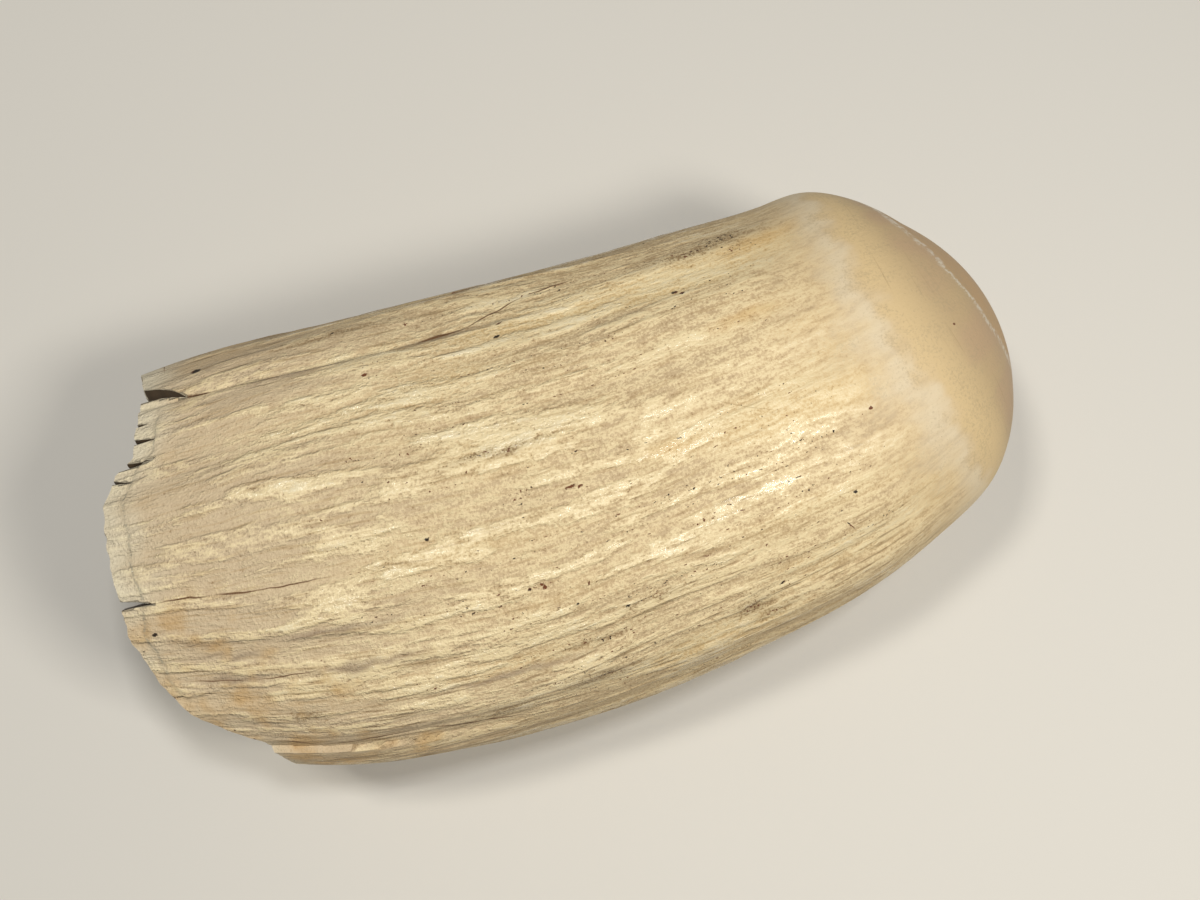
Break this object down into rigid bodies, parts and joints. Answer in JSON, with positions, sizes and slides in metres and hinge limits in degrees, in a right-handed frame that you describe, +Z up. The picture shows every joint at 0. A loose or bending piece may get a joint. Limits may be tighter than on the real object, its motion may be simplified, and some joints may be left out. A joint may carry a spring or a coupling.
{
  "type": "sperm whale tooth",
  "caption": "Blunt, slightly curved ivory tooth lying on its side, with a worn rounded tip, a furrowed body and a broken root open to a cone-shaped pulp cavity.",
  "frame": {"origin": "under the middle of the tooth, on the surface that it lies on", "axes": "+X along the tooth from the broken root to the worn tip, +Y towards the hollow side of its curve, +Z up"},
  "size_m": [0.143, 0.073, 0.0521],
  "materials": {
    "ivory": "satin"
  },
  "bodies": {
    "root": {"tooth": "ivory"}
  },
  "joints": []
}
